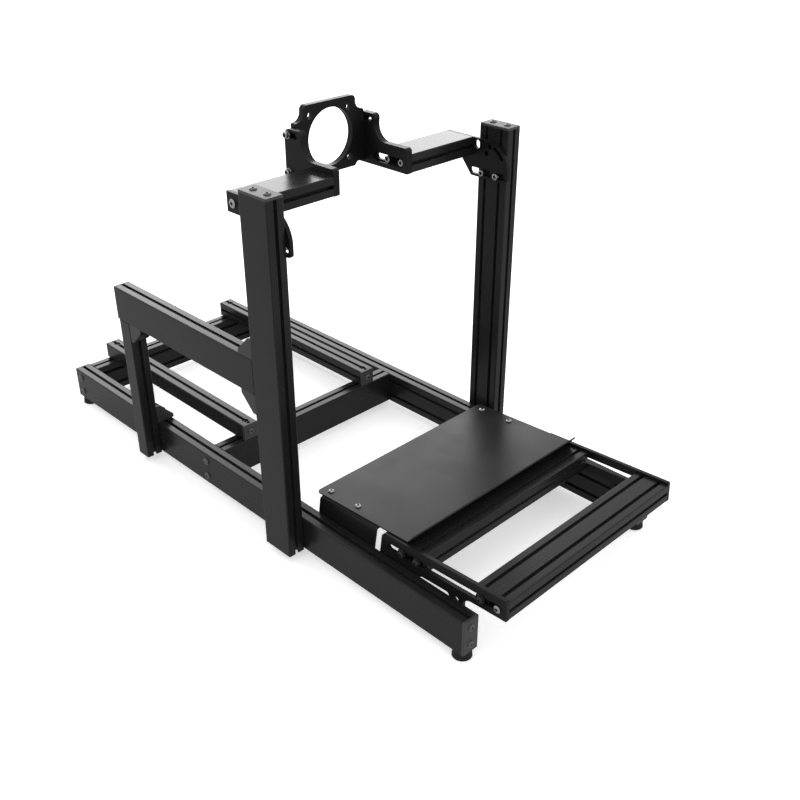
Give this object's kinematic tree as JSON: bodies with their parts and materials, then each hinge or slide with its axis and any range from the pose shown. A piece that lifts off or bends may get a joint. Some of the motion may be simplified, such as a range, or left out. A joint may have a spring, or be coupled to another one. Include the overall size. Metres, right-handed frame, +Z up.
{
  "type": "sim racing cockpit",
  "caption": "Open racing simulator rig of slotted aluminium bar with seat rails, a wheel motor deck, a tilted pedal deck and a shifter arm on one side.",
  "frame": {"origin": "middle of the footprint, on the floor under the centre of the rig", "axes": "+X to the driver's right, +Y forward towards the pedals, +Z up"},
  "size_m": [0.69, 1.4536, 0.872],
  "materials": {
    "bar": "black anodised, satin",
    "plate": "black anodised, satin",
    "sheet": "black powder coat",
    "casting": "black, die cast",
    "cap": "black, moulded",
    "foot": "black"
  },
  "bodies": {
    "root": {"base_rail_right": "bar", "base_rail_left": "bar", "rear_crossmember": "bar", "front_crossmember": "bar", "seat_rail_right": "bar", "seat_rail_left": "bar", "upright_right": "bar", "upright_left": "bar", "shifter_arm": "bar", "shifter_post": "bar", "deck_beam_right": "bar", "deck_beam_left": "bar", "pedal_beam_mid": "bar", "pedal_beam_front": "bar", "deck_side_plate_right": "plate", "deck_side_plate_left": "plate", "wheel_side_plate_right": "plate", "wheel_side_plate_left": "plate", "wheel_mount_plate": "plate", "pedal_side_plate_right": "plate", "pedal_side_plate_left": "plate", "heel_plate": "sheet", "heel_bracket_right": "sheet", "heel_bracket_left": "sheet", "arm_bracket_upper": "casting", "arm_bracket_lower": "casting", "post_bracket_upper": "casting", "post_bracket_lower": "casting", "base_rail_cap_front_right": "cap", "base_rail_cap_front_left": "cap", "base_rail_cap_rear_right": "cap", "base_rail_cap_rear_left": "cap", "seat_rail_cap_front_right": "cap", "seat_rail_cap_front_left": "cap", "seat_rail_cap_rear_right": "cap", "seat_rail_cap_rear_left": "cap", "upright_cap_right": "cap", "upright_cap_left": "cap", "shifter_arm_cap": "cap", "foot_front_right": "foot", "foot_front_left": "foot", "foot_rear_right": "foot", "foot_rear_left": "foot"}
  },
  "joints": []
}
